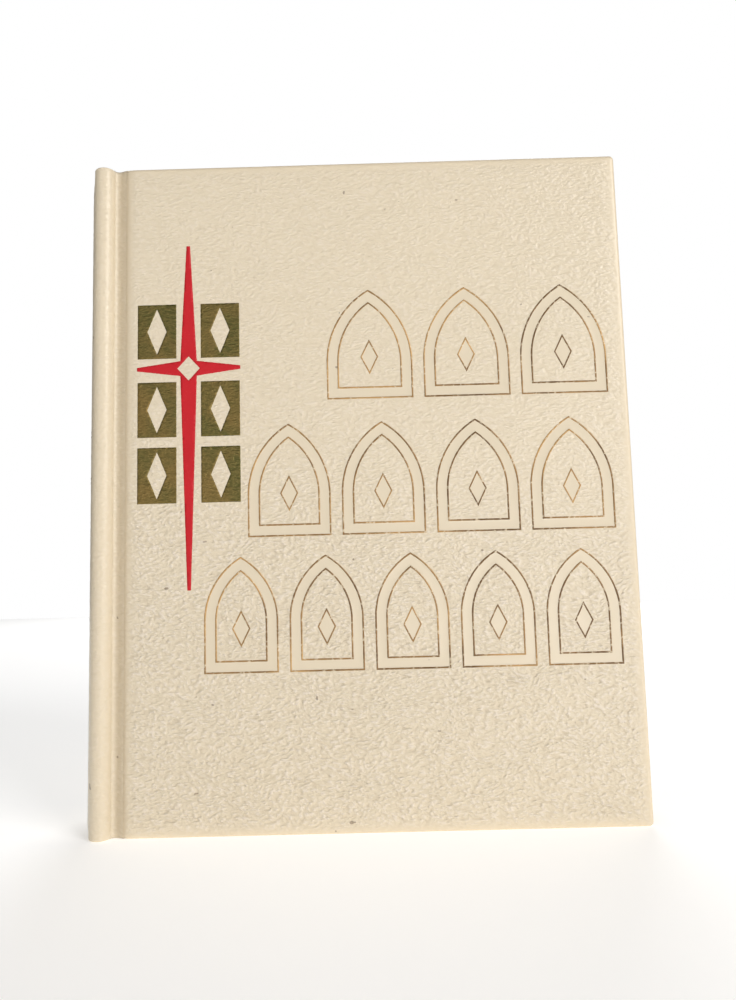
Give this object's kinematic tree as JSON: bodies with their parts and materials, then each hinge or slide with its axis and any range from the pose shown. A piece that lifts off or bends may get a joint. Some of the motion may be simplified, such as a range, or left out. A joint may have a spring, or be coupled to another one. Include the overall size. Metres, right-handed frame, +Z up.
{
  "type": "bible",
  "caption": "Large family Bible: sewn and rounded text block in a white leatherette case, hinged covers, turning endleaves, red cross and gold tiles stamped on the front.",
  "frame": {"origin": "middle of the closed book's footprint, on the surface that it stands on by its tail edges", "axes": "+Z up the height of the book to its head, spine at -X, fore-edge at +X, front cover facing -Y"},
  "size_m": [0.2454, 0.0604, 0.298],
  "materials": {
    "white_leatherette": "fine pebble grain, satin",
    "grey_board": "matt",
    "spine_card": "matt",
    "kraft_paper": "matt",
    "mull_gauze": "open weave",
    "sewing_thread": "matt",
    "headband_cloth": "striped, satin",
    "endpaper": "matt",
    "text_paper": "matt, gilt edges",
    "red_foil": "satin pigment foil",
    "gold_foil": "aged gold foil"
  },
  "bodies": {
    "book_block": {"signature_01": "text_paper", "signature_02": "text_paper", "signature_03": "text_paper", "signature_04": "text_paper", "signature_05": "text_paper", "signature_06": "text_paper", "signature_07": "text_paper", "signature_08": "text_paper", "signature_09": "text_paper", "signature_10": "text_paper", "signature_11": "text_paper", "signature_12": "text_paper", "signature_13": "text_paper", "signature_14": "text_paper", "signature_15": "text_paper", "signature_16": "text_paper", "sewing_threads": "sewing_thread", "mull_spine": "mull_gauze", "spine_lining": "kraft_paper", "spine_card": "spine_card", "spine_skin": "white_leatherette", "head_band": "headband_cloth", "tail_band": "headband_cloth", "front_joint_skin": "white_leatherette", "back_joint_skin": "white_leatherette", "front_endpaper_hinge": "endpaper", "back_endpaper_hinge": "endpaper"},
    "front_cover": {"front_board": "grey_board", "front_cover_skin": "white_leatherette", "front_mull_flange": "mull_gauze", "front_pastedown": "endpaper", "cross_stamp": "red_foil", "tile_stamps": "gold_foil", "ornament_stamps": "gold_foil"},
    "back_cover": {"back_board": "grey_board", "back_cover_skin": "white_leatherette", "back_mull_flange": "mull_gauze", "back_pastedown": "endpaper"},
    "front_flyleaf_sheet": {"front_flyleaf": "endpaper"},
    "front_sheet_3": {"front_leaf_3": "text_paper"},
    "front_sheet_2": {"front_leaf_2": "text_paper"},
    "front_sheet_1": {"front_leaf_1": "text_paper"},
    "back_flyleaf_sheet": {"back_flyleaf": "endpaper"},
    "back_sheet_2": {"back_leaf_2": "text_paper"},
    "back_sheet_1": {"back_leaf_1": "text_paper"}
  },
  "joints": [
    {"name": "front_cover_hinge", "type": "hinge", "parent": "book_block", "child": "front_cover", "pos_m": [-0.10465, -0.0307, 0.149], "axis": [0, 0, -1], "range_deg": [0, 180], "deforming": ["front_joint_skin", "front_endpaper_hinge"]},
    {"name": "back_cover_hinge", "type": "hinge", "parent": "book_block", "child": "back_cover", "pos_m": [-0.10465, 0.0307, 0.149], "axis": [0, 0, 1], "range_deg": [0, 180], "deforming": ["back_joint_skin", "back_endpaper_hinge"]},
    {"name": "front_flyleaf_turn", "type": "hinge", "parent": "book_block", "child": "front_flyleaf_sheet", "pos_m": [-0.10465, -0.0307, 0.149], "axis": [0, 0, -1], "range_deg": [0, 177.3]},
    {"name": "front_leaf_3_turn", "type": "hinge", "parent": "book_block", "child": "front_sheet_3", "pos_m": [-0.10465, -0.0307, 0.149], "axis": [0, 0, -1], "range_deg": [0, 172.8]},
    {"name": "front_leaf_2_turn", "type": "hinge", "parent": "book_block", "child": "front_sheet_2", "pos_m": [-0.10465, -0.0307, 0.149], "axis": [0, 0, -1], "range_deg": [0, 167.4]},
    {"name": "front_leaf_1_turn", "type": "hinge", "parent": "book_block", "child": "front_sheet_1", "pos_m": [-0.10465, -0.0307, 0.149], "axis": [0, 0, -1], "range_deg": [0, 5.4]},
    {"name": "back_flyleaf_turn", "type": "hinge", "parent": "book_block", "child": "back_flyleaf_sheet", "pos_m": [-0.10465, 0.0307, 0.149], "axis": [0, 0, 1], "range_deg": [0, 176.4]},
    {"name": "back_leaf_2_turn", "type": "hinge", "parent": "book_block", "child": "back_sheet_2", "pos_m": [-0.10465, 0.0307, 0.149], "axis": [0, 0, 1], "range_deg": [0, 171]},
    {"name": "back_leaf_1_turn", "type": "hinge", "parent": "book_block", "child": "back_sheet_1", "pos_m": [-0.10465, 0.0307, 0.149], "axis": [0, 0, 1], "range_deg": [0, 5.4]}
  ],
  "couplings": [
    {"joint": "front_flyleaf_turn", "follows": "front_cover_hinge", "ratio": 0.985},
    {"joint": "front_leaf_3_turn", "follows": "front_cover_hinge", "ratio": 0.96},
    {"joint": "front_leaf_2_turn", "follows": "front_cover_hinge", "ratio": 0.93},
    {"joint": "front_leaf_1_turn", "follows": "front_cover_hinge", "ratio": 0.03},
    {"joint": "back_flyleaf_turn", "follows": "back_cover_hinge", "ratio": 0.98},
    {"joint": "back_leaf_2_turn", "follows": "back_cover_hinge", "ratio": 0.95},
    {"joint": "back_leaf_1_turn", "follows": "back_cover_hinge", "ratio": 0.03}
  ]
}
